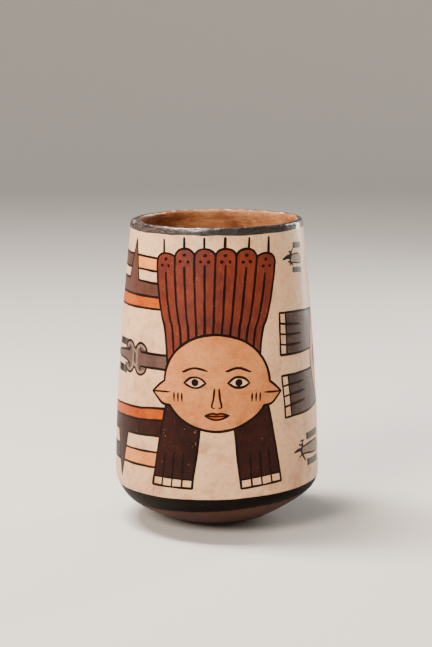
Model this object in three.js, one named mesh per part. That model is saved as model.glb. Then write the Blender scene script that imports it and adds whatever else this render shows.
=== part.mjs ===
import * as THREE from 'three';

// A hand-built beaker of fired clay, millimetres, +Z up. The axis is on z and the cup stands at z = 0.
// The painted face looks along -Y. One wall rises from a shallow rounded foot, is fullest low down
// and leans in to a plain rounded lip.

// Driving dimensions of the outside
const cupHeight = 180;
const mouthDiameter = 101.3;
const bellyDiameter = 121.4;
const bellyHeight = 28.5;
const restDiameter = 36;      // the small flat spot under the foot
const footFlare = 8.6;        // how far the underside stays nearly level past the flat spot
const heelDrop = 14;          // how far the wall stays nearly upright below the belly
const uprightHeight = 83.5;   // where the belly's upright and the mouth's lean would cross

// Thickness of the clay
const wallThickness = 4.6;
const lipThickness = 4;
const floorThickness = 5.6;

// What the potter's hand left uneven; an angle is degrees round from the front towards +X
const heelSwell = 2.4;        // the foot bulges on one side and is lean on the other
const heelSwellAngle = -76;
const heelSwellTop = 24;
const outOfRound = 0.4;
const outOfRoundAngle = 30;
const lipWave = 0.6;          // the rim is a little higher on one side
const lipWaveAngle = 125;
const lipWaveDepth = 30;
const lipLump = 2.4;          // a thick, rubbed place inside the rim
const lipLumpAngle = -78;
const lipLumpSpread = 13;
const lipLumpDepth = 9;

const clayColour = 0xd9c3aa;
const sidesRound = 80;
const heelSteps = 9;
const wallSteps = 11;
const lipSteps = 6;

// Half of the cup's section, in order up the outside, over the lip and down the inside to the axis
function sectionOfCup() {
  const mouth = mouthDiameter / 2;
  const belly = bellyDiameter / 2;
  const rest = restDiameter / 2;
  const lipRadius = lipThickness / 2;
  const lipStart = cupHeight - lipRadius;
  const insideBelly = belly - wallThickness;
  const insideDrop = heelDrop * (bellyHeight - floorThickness) / bellyHeight;

  const heel = new THREE.CubicBezierCurve(
    new THREE.Vector2(rest, 0),
    new THREE.Vector2(rest + footFlare, 0),
    new THREE.Vector2(belly, bellyHeight - heelDrop),
    new THREE.Vector2(belly, bellyHeight));
  const wall = new THREE.QuadraticBezierCurve(
    new THREE.Vector2(belly, bellyHeight),
    new THREE.Vector2(belly, uprightHeight),
    new THREE.Vector2(mouth, lipStart));
  const lip = new THREE.EllipseCurve(mouth - lipRadius, lipStart, lipRadius, lipRadius, 0, Math.PI);
  const insideWall = new THREE.QuadraticBezierCurve(
    new THREE.Vector2(mouth - lipThickness, lipStart),
    new THREE.Vector2(insideBelly, uprightHeight),
    new THREE.Vector2(insideBelly, bellyHeight));
  const insideHeel = new THREE.CubicBezierCurve(
    new THREE.Vector2(insideBelly, bellyHeight),
    new THREE.Vector2(insideBelly, bellyHeight - insideDrop),
    new THREE.Vector2(rest + footFlare, floorThickness),
    new THREE.Vector2(rest, floorThickness));

  const outside = [
    new THREE.Vector2(0, 0),
    ...heel.getPoints(heelSteps),
    ...wall.getPoints(wallSteps).slice(1),
    ...lip.getPoints(lipSteps).slice(1),
  ];
  const inside = [
    ...insideWall.getPoints(wallSteps).slice(1),
    ...insideHeel.getPoints(heelSteps).slice(1),
    new THREE.Vector2(0, floorThickness),
  ];
  const lipCrest = outside.length - 1 - lipSteps / 2;
  return { points: [...outside, ...inside], lipCrest };
}

// 1 at the centre of a soft bump and 0 from one spread away
function softBump(distance, spread) {
  const share = Math.min(Math.abs(distance) / spread, 1);
  return Math.cos(share * Math.PI / 2) ** 2;
}

function angleBetween(angle, centreDegrees) {
  const turn = angle - THREE.MathUtils.degToRad(centreDegrees);
  return Math.atan2(Math.sin(turn), Math.cos(turn));
}

// Turns the true round form into the uneven one, the outside and the inside alike
function makeUneven(geometry, pointsInSection, lipCrest) {
  const position = geometry.attributes.position;
  for (let i = 0; i < position.count; i++) {
    const x = position.getX(i);
    const y = position.getY(i);
    const z = position.getZ(i);
    const radius = Math.hypot(x, y);
    const angle = Math.atan2(x, -y);
    const underLip = cupHeight - z;

    const swellUp = softBump(z - heelSwellTop / 2, heelSwellTop / 2);
    const swell = heelSwell * swellUp * Math.cos(angleBetween(angle, heelSwellAngle));
    const oval = outOfRound * (z / cupHeight) * Math.cos(2 * angleBetween(angle, outOfRoundAngle));
    const wave = lipWave * softBump(underLip, lipWaveDepth) * Math.cos(angleBetween(angle, lipWaveAngle));
    const isInside = i % pointsInSection > lipCrest;
    const lumpAcross = softBump(angleBetween(angle, lipLumpAngle), THREE.MathUtils.degToRad(lipLumpSpread) * 2);
    const lump = isInside ? lipLump * lumpAcross * softBump(underLip, lipLumpDepth) : 0;

    const share = radius > 0 ? (radius + swell + oval - lump) / radius : 1;
    position.setXYZ(i, x * share, y * share, z + wave);
  }
  position.needsUpdate = true;
  geometry.computeVertexNormals();
}

function makeCup() {
  const section = sectionOfCup();
  const geometry = new THREE.LatheGeometry(section.points, sidesRound);
  geometry.rotateX(Math.PI / 2);
  makeUneven(geometry, section.points.length, section.lipCrest);
  const firedClay = new THREE.MeshStandardMaterial({ color: clayColour, roughness: 0.5, metalness: 0 });
  const mesh = new THREE.Mesh(geometry, firedClay);
  mesh.name = 'cup';
  return mesh;
}

const cup = new THREE.Group();
cup.add(makeCup());

export default cup;
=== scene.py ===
import math
import random
import time

import bpy
import numpy as np
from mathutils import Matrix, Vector, geometry, kdtree, noise


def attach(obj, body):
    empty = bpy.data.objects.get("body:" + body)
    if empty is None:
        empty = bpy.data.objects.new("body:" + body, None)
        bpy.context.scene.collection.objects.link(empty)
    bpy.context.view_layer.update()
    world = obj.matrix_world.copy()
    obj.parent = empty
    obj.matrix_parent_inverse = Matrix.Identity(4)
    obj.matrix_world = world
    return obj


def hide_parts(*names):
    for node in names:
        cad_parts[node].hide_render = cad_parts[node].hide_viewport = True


startTime = time.time()
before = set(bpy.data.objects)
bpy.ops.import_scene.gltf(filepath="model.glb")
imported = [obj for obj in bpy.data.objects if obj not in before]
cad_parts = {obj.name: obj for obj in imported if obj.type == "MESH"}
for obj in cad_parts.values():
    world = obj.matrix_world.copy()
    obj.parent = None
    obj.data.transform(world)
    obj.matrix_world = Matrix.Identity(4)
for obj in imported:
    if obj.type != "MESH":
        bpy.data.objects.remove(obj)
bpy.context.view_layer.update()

# Sizes are millimetres until a mesh is made, then metres. The cup's painting is laid out flat first, as a
# sheet whose x is the distance round the belly (0 at the front, + to the viewer's right) and whose y is the
# distance up the wall from the belly. Geometry nodes then wrap the sheet onto the cup's section.

mm = 0.001


def addNode(tree, kind, inputs=(), **settings):
    node = tree.nodes.new(kind)
    for name, value in settings.items():
        setattr(node, name, value)
    for key, value in inputs.items() if isinstance(inputs, dict) else enumerate(inputs):
        if isinstance(value, bpy.types.Node):
            value = value.outputs[0]
        if isinstance(value, bpy.types.NodeSocket):
            tree.links.new(value, node.inputs[key])
        else:
            node.inputs[key].default_value = value
    return node


# An sRGB hex code as linear red, green, blue and alpha
def linearColour(hexCode):
    channels = [int(hexCode[i:i + 2], 16) / 255 for i in (1, 3, 5)]
    return [c / 12.92 if c <= 0.04045 else ((c + 0.055) / 1.055) ** 2.4 for c in channels] + [1.0]


# The cup's section: the same sizes as the solid

cupSizes = {
    "Height": 180.0, "Mouth Radius": 50.65, "Belly Radius": 60.7, "Belly Height": 28.5, "Upright Height": 83.5,
    "Rest Radius": 18.0, "Foot Flare": 8.6, "Heel Drop": 14.0,
    "Wall Thickness": 4.6, "Lip Thickness": 4.0, "Floor Thickness": 5.6,
}

# Sizes that follow from these, in the order they are worked out
derivedSizes = (
    ("Lip Radius", "MULTIPLY", "Lip Thickness", 0.5),
    ("Lip Start", "SUBTRACT", "Height", "Lip Radius"),
    ("Lip Middle", "SUBTRACT", "Mouth Radius", "Lip Radius"),
    ("Mouth Inside", "SUBTRACT", "Mouth Radius", "Lip Thickness"),
    ("Belly Inside", "SUBTRACT", "Belly Radius", "Wall Thickness"),
    ("Foot Handle", "ADD", "Rest Radius", "Foot Flare"),
    ("Heel Handle", "SUBTRACT", "Belly Height", "Heel Drop"),
    # inside, the heel's curve is the same shape in what height the floor leaves
    ("Inside Rise", "SUBTRACT", "Belly Height", "Floor Thickness"),
    ("Inside Share", "DIVIDE", "Inside Rise", "Belly Height"),
    ("Inside Drop", "MULTIPLY", "Heel Drop", "Inside Share"),
    ("Inside Handle", "SUBTRACT", "Belly Height", "Inside Drop"),
)

# The section's points, each the distance from the axis and the height
sectionPoints = {
    "axis under": (0.0, 0.0), "rest edge": ("Rest Radius", 0.0), "foot handle": ("Foot Handle", 0.0),
    "heel handle": ("Belly Radius", "Heel Handle"), "belly": ("Belly Radius", "Belly Height"),
    "upright": ("Belly Radius", "Upright Height"), "lip outside": ("Mouth Radius", "Lip Start"),
    "lip crest": ("Lip Middle", "Height"), "lip inside": ("Mouth Inside", "Lip Start"),
    "inside upright": ("Belly Inside", "Upright Height"), "inside belly": ("Belly Inside", "Belly Height"),
    "inside heel handle": ("Belly Inside", "Inside Handle"), "inside foot handle": ("Foot Handle", "Floor Thickness"),
    "floor edge": ("Rest Radius", "Floor Thickness"), "axis inside": (0.0, "Floor Thickness"),
}

# Its pieces in order: the kind of curve, its steps and its points
sectionPieces = (
    ("PrimitiveLine", 1, "axis under", "rest edge"),
    ("PrimitiveBezierSegment", 64, "rest edge", "foot handle", "heel handle", "belly"),
    ("QuadraticBezier", 96, "belly", "upright", "lip outside"),
    ("Arc", 32, "lip outside", "lip crest", "lip inside"),
    ("QuadraticBezier", 96, "lip inside", "inside upright", "inside belly"),
    ("PrimitiveBezierSegment", 64, "inside belly", "inside heel handle", "inside foot handle", "floor edge"),
    ("PrimitiveLine", 1, "floor edge", "axis inside"),
)

# What the potter's hand left uneven; angles in degrees round from the front, + to the right
unevenness = {
    "heelSwell": 2.4, "heelSwellAngle": -76.0, "heelSwellTop": 24.0,
    "outOfRound": 0.4, "outOfRoundAngle": 30.0,
    "lipWave": 0.6, "lipWaveAngle": 125.0, "lipWaveDepth": 30.0,
    "lipLump": 2.4, "lipLumpAngle": -78.0, "lipLumpSpread": 13.0, "lipLumpDepth": 9.0,
    "ripple": 0.16, "rippleSpacing": 17.0,     # scraping and burnishing left the wall gently rippled
    "lipPits": 0.4, "lipPitSpacing": 4.0,     # the rim is finely lumpy,
    "rubbedPits": 4.5,                        # and more so at the rubbed place
    "rippleTall": 1.3, "rippleFrom": 6.0,      # ripple's stretch, and the height by which it is full
    "pitsOut": 0.6, "pitsUp": 0.5,             # shares of a lip pit that go sideways and up
}

bellyRadius = cupSizes["Belly Radius"]
bellyHeight = cupSizes["Belly Height"]
wayRound = 2 * math.pi * bellyRadius
halfRound = wayRound / 2


def bezierLength(points):
    t = np.linspace(0, 1, 400 if len(points) > 2 else 2)[:, None]
    points = [np.array(p, float) for p in points]
    while len(points) > 1:
        points = [a * (1 - t) + b * t for a, b in zip(points, points[1:])]
    return float(np.hypot(*np.diff(points[0], axis=0).T).sum())


# Distances along the section, from the belly, at which its pieces meet
def sectionMarks():
    value = dict(cupSizes)
    for name, operation, a, b in derivedSizes:
        a, b = value[a], value.get(b, b)
        value[name] = {"ADD": a + b, "SUBTRACT": a - b, "MULTIPLY": a * b, "DIVIDE": a / b}[operation]
    at = {name: [value.get(size, size) for size in sizes] for name, sizes in sectionPoints.items()}
    under, heel, wall, lip, *inside = [
        math.pi * value["Lip Radius"] if kind == "Arc" else bezierLength([at[name] for name in names])
        for kind, _, *names in sectionPieces]
    marks = {"restEdge": -heel, "axisUnder": -heel - under, "lipCrest": wall + lip / 2}
    stops = np.cumsum([wall, lip] + inside)
    marks.update(zip(("lipStart", "lipEnd", "insideBelly", "floorEdge", "axisInside"), map(float, stops)))
    return marks


marks = sectionMarks()


# Outside radius at a distance up the wall; outside the wall the nearest end's
def wallRadius(up):
    lipStart = cupSizes["Height"] - cupSizes["Lip Thickness"] / 2
    height = np.clip(bellyHeight + np.asarray(up, float), bellyHeight, lipStart)
    rise = cupSizes["Upright Height"] - bellyHeight
    bend = (lipStart - bellyHeight) - 2 * rise
    t = (-rise + np.sqrt(rise * rise + bend * (height - bellyHeight))) / bend
    return bellyRadius - (bellyRadius - cupSizes["Mouth Radius"]) * t * t


# Drawing on the flat sheet

brush = {
    "step": 1.3,            # spacing of points along an outline
    "lineWidth": 1.4,
    "thinLine": 1.2,
    "sway": 0.45,           # how far the hand drifts off a true line
    "swaySpacing": 22.0,
    "shake": 0.13,          # and how far it shakes
    "shakeSpacing": 4.5,
    "pressure": 0.16,       # change of a line's width along it
    "pressureSpacing": 9.0,
    "seed": 11,
}
noise.seed_set(brush["seed"])      # unseeded, the noise vectors change from run to run

painted = []      # (slip name, closed loops), in the order of painting


# Drift of the painter's hand at each place: neighbours in the painting drift together
def handOffset(points):
    result = np.empty_like(points)
    for i, (x, y) in enumerate(points):
        angle = x / bellyRadius
        place = Vector((bellyRadius * math.sin(angle), -bellyRadius * math.cos(angle), y))
        sway = noise.noise_vector(place / brush["swaySpacing"])
        shake = noise.noise_vector(place / brush["shakeSpacing"] + Vector((7, 3, 5)))
        result[i] = (sway[0] * brush["sway"] + shake[0] * brush["shake"],
                     sway[1] * brush["sway"] + shake[1] * brush["shake"])
    return result


# Straight pieces cut to short steps, corners kept
def subdivide(points, closed=False):
    points = [np.array(p, float) for p in points]
    ends = points[1:] + points[:1] if closed else points[1:]
    path = []
    for a, b in zip(points, ends):
        count = max(1, int(round(np.hypot(*(b - a)) / brush["step"])))
        path += [a + (b - a) * i / count for i in range(count)]
    if not closed:
        path.append(points[-1])
    return np.array(path)


# A flowing curve through a few points
def smooth(points, closed=False, step=None):
    p = [np.array(q, float) for q in points]
    p = [p[-1]] + p + [p[0], p[1]] if closed else [2 * p[0] - p[1]] + p + [2 * p[-1] - p[-2]]
    path = []
    for a, b, c, d in zip(p, p[1:], p[2:], p[3:]):
        count = max(2, int(math.ceil(np.hypot(*(c - b)) / (step or brush["step"]))))
        for i in range(count):
            t = i / count
            path.append(0.5 * (2 * b + (c - a) * t + (2 * a - 5 * b + 4 * c - d) * t * t
                               + (3 * b - a - 3 * c + d) * t ** 3))
    if not closed:
        path.append(p[-2])
    return np.array(path)


def arc(centre, radiusX, radiusY, fromDegrees, toDegrees):
    sweep = math.radians(toDegrees - fromDegrees)
    count = max(4, int(math.ceil(abs(sweep) * max(radiusX, radiusY) / brush["step"])))
    angles = math.radians(fromDegrees) + sweep * np.arange(count + 1) / count
    return np.stack([centre[0] + radiusX * np.cos(angles), centre[1] + radiusY * np.sin(angles)], 1)


# A motif's own points, x to its right and y up, set on the sheet at a place (x, y, degrees)
def turned(points, place):
    x, y, degrees = place
    c, s = math.cos(math.radians(degrees)), math.sin(math.radians(degrees))
    points = np.atleast_2d(np.array(points, float))
    return np.stack([x + points[:, 0] * c - points[:, 1] * s, y + points[:, 0] * s + points[:, 1] * c], 1)


def signedArea(loop):
    x, y = loop.T
    return 0.5 * float((x * np.roll(y, -1) - y * np.roll(x, -1)).sum())


# The loop itself, run the other way round where that gives the area its sign
def wound(loop, sign=1):
    return loop if signedArea(loop) * sign > 0 else loop[::-1]


# Lays a flat area of slip inside a closed path. Long edges are cut short, so that they follow the round wall.
def fill(slip, path):
    path = subdivide(path, closed=True)
    painted.append((slip, [wound(path + handOffset(path))]))


# One pull of the brush along a path. taper is the width left at its two ends
def stroke(path, width=None, slip="black line", closed=False, taper=(0.55, 0.4)):
    width = width or brush["lineWidth"]
    before, after = (path[-1:], path[:1]) if closed else (2 * path[:1] - path[1:2], 2 * path[-1:] - path[-2:-1])
    extended = np.vstack([before, path, after])
    along = extended[2:] - extended[:-2]
    along /= np.maximum(np.hypot(along[:, 0], along[:, 1]), 1e-9)[:, None]
    side = np.stack([-along[:, 1], along[:, 0]], 1)
    half = np.empty(len(path))
    for i, (x, y) in enumerate(path):
        press = noise.noise(Vector((x, y, 50 + brush["seed"])) / brush["pressureSpacing"])
        half[i] = width / 2 * (1 + brush["pressure"] * 2 * press)
    if not closed:
        travelled = np.concatenate([[0], np.cumsum(np.hypot(*np.diff(path, axis=0).T))])
        fromEnd = travelled[-1] - travelled
        half *= taper[0] + (1 - taper[0]) * np.clip(travelled / (1.2 * width), 0, 1)
        half *= taper[1] + (1 - taper[1]) * np.clip(fromEnd / (2.2 * width), 0, 1)
    side[:, 0] *= bellyRadius / wallRadius(path[:, 1])   # the sheet narrows towards the mouth
    drawn = path + handOffset(path)
    left, right = drawn + side * half[:, None], drawn - side * half[:, None]
    if closed:
        outer, inner = (left, right) if signedArea(drawn) < 0 else (right, left)
        painted.append((slip, [wound(outer), wound(inner, -1)]))
    else:
        tip = drawn[-1] + along[-1] * half[-1]
        tail = drawn[0] - along[0] * half[0]
        painted.append((slip, [wound(np.vstack([[tail], right, [tip], left[::-1]]))]))


# A dab, fleck or chip: a small uneven round
def spot(slip, centre, radiusX, radiusY=None, sides=10, roughness=0.2, dice=None):
    radiusY = radiusY or radiusX
    dice = dice or spotDice
    angles = np.arange(sides) * 2 * math.pi / sides
    reach = np.array([1 + roughness * dice.uniform(-1, 1) for _ in range(sides)])
    loop = np.stack([centre[0] + radiusX * reach * np.cos(angles), centre[1] + radiusY * reach * np.sin(angles)], 1)
    painted.append((slip, [loop]))


spotDice = random.Random(5)


# Slip laid all the way round between two edges, each a distance up the wall for an angle in degrees
def ringBand(slip, low, high):
    x = np.linspace(-halfRound, halfRound, 301)
    degrees = np.degrees(x / bellyRadius)
    edges = []
    for edge in (low, high):
        path = np.stack([x, [edge(a) for a in degrees]], 1)
        shift = handOffset(path)
        path[:, 1] += shift[:, 1]
        path[-1, 1] = path[0, 1]
        edges.append(path)
    painted.append((slip, [np.vstack([edges[0], edges[1][::-1]])]))


def lerp(a, b, t):
    return a + (b - a) * t


def bump(distance, spread):
    return math.cos(min(abs(distance) / spread, 1) * math.pi / 2) ** 2


def angleGap(a, b):
    return (a - b + 180) % 360 - 180


# Distance up the wall of a height above the table: the wall leans so little that they agree
def heightUp(height):
    return height - bellyHeight


# The bands that run all the way round

ringSizes = {
    "rimHeight": 176.0,          # the black rim band begins here
    "rimOver": 0.9,              # how far it runs over the lip's crest
    "rimInside": 4.4, "rimInsideAngle": -86.0,            # and how much further at the rubbed place
    "raggedRim": 0.7,
    "baseTop": -2.6, "baseTopTilt": 1.9,
    "baseLow": -13.0, "baseLowTilt": 6.0,
    "wornFrom": -111.0, "wornTo": -140.0,     # degrees round the lip where its inner edge is rubbed pale
    "dullFrom": -63.0, "dullTo": -101.0, "dullAt": -0.9, "dullWidth": 3.8,
    "lumpScuffs": 90, "nearScuffs": 110, "scuffs": 24, "seed": 3,
    "brokenTo": -235, "seam": -174,       # where the broken bits end, and where their angles start again
    # dark streaks drawn inside under the lip: from and to in degrees, depth under the crest and width
    "insideStreaks": ((-134, -146, 5.4, 0.8), (-141, -158, 6.5, 1.3), (-155, -164, 5.6, 0.8), (-170, -176, 6.8, 0.7),
                  (160, 152, 7.4, 0.6)),
}


def wobble(degrees, spacing, salt):
    a = math.radians(degrees)
    return noise.noise(Vector((math.sin(a), math.cos(a), salt)) * (bellyRadius / spacing))


def lipPath(fromDegrees, toDegrees, past, count=16):
    degrees = np.linspace(fromDegrees, toDegrees, count)
    return np.stack([np.radians(degrees) * bellyRadius, [marks["lipCrest"] + past] * count], 1)


def paintRings():
    r = ringSizes

    def baseTop(a):
        return r["baseTop"] + r["baseTopTilt"] * math.sin(math.radians(a))

    def baseLow(a):
        return r["baseLow"] + r["baseLowTilt"] * math.sin(math.radians(a)) + 0.5 * wobble(a, 4, 1)

    def rimEdge(a):
        return heightUp(r["rimHeight"]) + 0.5 * r["raggedRim"] * wobble(a, 7, 2)

    def lipEdge(a):
        lump = bump(angleGap(a, r["rimInsideAngle"]), 1.7 * unevenness["lipLumpSpread"])
        ragged = r["raggedRim"] * (wobble(a, 5, 3) + 0.6 * wobble(a, 2, 4))
        return marks["lipCrest"] + r["rimOver"] + ragged + r["rimInside"] * lump * (1 + 0.8 * wobble(a, 3, 5))

    ringBand("cream slip", baseTop, rimEdge)
    ringBand("black base slip", baseLow, baseTop)
    ringBand("black rim slip", rimEdge, lipEdge)
    for start, end, depth, width in r["insideStreaks"]:
        stroke(lipPath(start, end, depth, 14), width, "inside streak", taper=(0.1, 0.1))
    dice = random.Random(r["seed"])
    # the crest is rubbed down to the clay: a long pale line on the far left, then broken bits
    stroke(lipPath(r["wornFrom"], r["wornTo"], 1.7, 30), 1.1, "worn clay", taper=(0.3, 0.2))
    start = r["wornTo"]
    while start > r["brokenTo"]:
        start -= dice.uniform(3, 9)
        length = dice.uniform(2, 7)
        a = start if start > r["seam"] else start + 360
        stroke(lipPath(a, a - length, dice.uniform(0.5, 1.5)), dice.uniform(0.4, 1.1), "worn clay", taper=(0.2, 0.2))
        start -= length + 6 if start < -180 else length
    # and scuffed grey where it was most handled: all ways on the lump, which is dull, along the rim beside it
    lump = unevenness["lipLumpAngle"]
    stroke(lipPath(r["dullFrom"], r["dullTo"], r["dullAt"], 20), r["dullWidth"], "smoky slip", taper=(0.3, 0.3))
    for n in range(r["lumpScuffs"] + r["nearScuffs"] + r["scuffs"]):
        if n < r["lumpScuffs"]:
            degrees, lean, length, width = dice.gauss(lump - 3, 8), 1.0, dice.uniform(0.5, 2.2), dice.uniform(0.4, 1.2)
        elif n < r["lumpScuffs"] + r["nearScuffs"]:
            degrees, lean, length, width = lump + dice.uniform(2, 48), 0.1, dice.uniform(1.5, 6), dice.uniform(0.2, 0.5)
        else:
            degrees, lean, length, width = dice.uniform(-170, 170), 0.2, dice.uniform(1, 4), dice.uniform(0.15, 0.3)
        begin = lipPath(degrees, degrees, dice.uniform(-4.9, 2.6 if n < r["lumpScuffs"] else 0), 1)[0]
        turn = dice.gauss(0, lean)
        end = begin + np.array([math.cos(turn), math.sin(turn)]) * length
        stroke(smooth([begin, (begin + end) / 2 + (0, dice.uniform(-0.3, 0.3)), end], step=0.6), width,
               "scuffed rim slip", taper=(0.2, 0.2))


# Two rows of bands with spikes left of the first figure, one the other's mirror. Each line's two heights
# are those at the figure's edge and at levelFrom; beyond that it runs level to the far end.

bands = {
    "upper": {"slip": "mauve brown slip", "right": -36.0, "left": -162.0, "levelFrom": -88.0, "tip": 171.8,
              "lines": ((132.9, 131.6), (139.5, 139.1), (147.2, 148.2), (154.2, 154.4), (161.9, 162.5)),
              "spikes": (-66.9, -112.0, -146.0), "spikeWidth": 14.2},
    "lower": {"slip": "dark brown slip", "right": -29.0, "left": -162.0, "levelFrom": -88.0, "tip": 31.0,
              "lines": ((76.9, 72.8), (69.9, 66.0), (60.5, 57.8), (51.0, 49.2), (42.3, 40.4)),
              "spikes": (-70.3, -114.5, -148.0), "spikeWidth": 15.4},
}


def paintBands(b):
    right, left = b["right"], b["left"]

    def lineAt(i, x):
        atRight, atLeft = b["lines"][i]
        return heightUp(lerp(atRight, atLeft, min((right - x) / (right - b["levelFrom"]), 1.0)))

    def along(i, a, c):
        xs = np.linspace(a, c, max(3, int(abs(c - a) / 5)))
        return smooth([(x, lineAt(i, x)) for x in xs])

    def strip(slip, i, j, a, c):
        fill(slip, np.vstack([along(i, a, c), along(j, c, a)]))

    strip("orange slip", 0, 1, right, left)
    strip(b["slip"], 1, 2, right, left)
    # outside the dark band the row is cut into boxes by the spikes, in light and dark slip by turns
    boxes = [right] + list(b["spikes"]) + [left]
    for n, (a, c) in enumerate(zip(boxes, boxes[1:])):
        strip(("pale orange slip", b["slip"])[n % 2], 3, 4, a, c)
    for i in range(5):
        stroke(along(i, right, left))
    stroke(subdivide([(left, lineAt(0, left)), (left, lineAt(4, left))]))
    for x in b["spikes"]:
        foot = b["spikeWidth"] / 2
        tip = (x, heightUp(b["tip"]))
        base = lineAt(2, x)
        sides = []
        for way in (1, -1):
            waist = (x + way * foot * 0.52, lerp(base, tip[1], 0.5))
            sides.append(smooth([(x + way * foot, base), waist, tip]))
        hidden = (lineAt(1, x) + lineAt(2, x)) / 2
        fill(b["slip"], np.vstack([[(x - foot, hidden), (x + foot, hidden)], sides[0], sides[1][::-1][1:]]))
        for side in sides:
            stroke(side, brush["thinLine"], taper=(1, 0.7))


# The stem left of the first head. It ends in a bow of four rolled lobes, with a leaf and two blocks behind.

stemSizes = {
    "right": -31.0, "axis": 103.0, "halfHeight": 4.15,
    "bow": -58.8,                # the bow's middle
    "lobe": ((12.1, 4.4), (10.9, 7.0), (8.4, 8.7), (5.3, 9.1), (2.4, 7.8), (0.4, 5.4)),
    "roll": ((8.8, 4.15), (6.4, 4.15), (5.4, 6.6)),      # each lobe's edge rolls in on itself
    "ribbon": ((9.9, 6.0), (8.0, 7.3), (5.5, 7.6), (3.5, 6.7), (2.4, 4.8), (2.1, 2.0), (2.1, 0.0)),
    # the ribbon crosses from one side of the bow to the other above and below the parting
    "crossings": (((-3.4, 5.6), (-1.4, 4.6), (0.6, 3.6), (2.0, 1.9)),
                  ((-2.2, -1.8), (-1.0, -3.7), (1.2, -4.8), (3.2, -6.2))),
    "parting": ((-0.5, 3.2), (-0.1, 1.0), (-0.6, -1.4), (0.1, -3.4)),
    "leafTop": ((4.5, 3.6), (10.0, 3.5), (16.0, 2.9), (24.0, 1.9), (31.0, -0.4)),
    "leafLow": ((31.0, -0.4), (24.0, -1.7), (15.7, -2.3), (10.0, -2.9), (6.4, -4.6)),
    "blocks": ((9.0, 5.2, 25.0, 9.5), (9.0, -10.7, 25.0, -6.0)), "blockDark": 10.0,
}


def paintStem():
    s = stemSizes
    bow = np.array([s["bow"], heightUp(s["axis"])])

    def at(points, wayX=1, wayY=1):
        return bow + np.array(points, float) * (wayX, wayY)

    for near, low, far, high in s["blocks"]:      # grey next to the bow and black at the far end
        fill("smoky slip", at([(near, low), (near, high), (far, high), (far, low)], -1))
        dark = far - s["blockDark"]
        fill("black line", at([(dark, low), (dark, high), (far, high), (far, low)], -1))
    leaf = [smooth(at(s["leafTop"], -1)), smooth(at(s["leafLow"], -1))]
    fill("grey mauve slip", np.vstack([leaf[0], leaf[1][1:]]))
    for edge in leaf:
        stroke(edge, taper=(1, 1))
    stem = at([(s["right"] - s["bow"], -s["halfHeight"]), (s["right"] - s["bow"], s["halfHeight"]),
               (4.0, s["halfHeight"]), (4.0, -s["halfHeight"])])
    fill("grey mauve slip", stem)
    ways = ((1, 1), (-1, 1), (-1, -1), (1, -1))
    lobes = [smooth(at(s["lobe"], *way)) for way in ways]
    necks = [subdivide(at(s["roll"][:2], *way)) for way in ways]
    around = [necks[0][::-1], lobes[0], lobes[1][::-1], necks[1], necks[2][::-1], lobes[2], lobes[3][::-1], necks[3]]
    fill("grey mauve slip", np.vstack(around))
    for way in ways:
        stroke(smooth(at(s["ribbon"], *way)), 1.6, "pale mauve slip", taper=(0.7, 1))
    for way, lobe in zip(ways, lobes):
        stroke(lobe, taper=(1, 1))
        stroke(smooth(at(s["roll"], *way)), brush["thinLine"], taper=(1, 0.6))
    for side in (-1, 1):
        y = side * s["halfHeight"]
        stroke(smooth(at([(s["right"] - s["bow"], y), (18, y * 1.01), (8.8, y)])), taper=(1, 1))
    for cross in s["crossings"]:
        stroke(smooth(at(cross)), 1.5, "pale mauve slip", taper=(0.6, 0.6))
    stroke(smooth(at(s["parting"])), 0.8 * brush["thinLine"], taper=(0.5, 0.4))


# A figure: feather fan, two hands and a head, x to its right and y up from the head's centre

figureSizes = {
    "feathers": 6, "fanTopLeft": -42.4, "fanTopRight": 40.4, "fanLowLeft": -33.3, "fanLowRight": 28.8,
    "fanLow": 28.5, "fanShoulder": 67.4, "fanShoulderRise": 3.4, "fanTop": 75.6, "fanTopDrop": 9.0, "fanBow": 1.3,
    "fanTuck": 20.0,             # how far the feathers run on behind the head
    "dotRadius": 1.15, "dotDrop": 3.7, "pairDrop": 7.4, "pairGap": 2.55,
    "ribTop": 67.0, "ribTopDrop": 7.0,
    "quillTops": (80.1, 81.4, 81.7, 81.7, 81.7, 81.0), "quillShifts": (-1.7, -0.4, -0.5, -0.4, 1.5, 2.3),
    "quillWidth": 1.7,
    "headHalfWidth": 32.5, "headHalfHeight": 27.5, "earReach": 8.0, "earFold": 12.0,
    "handInnerTop": -20.0, "handOuterTop": -11.0,     # where the hands begin, behind the head
    "nailSlant": 1.2, "nailLean": 0.9, "nailHeight": 5.2, "fingerLine": 15.2,
}


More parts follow.
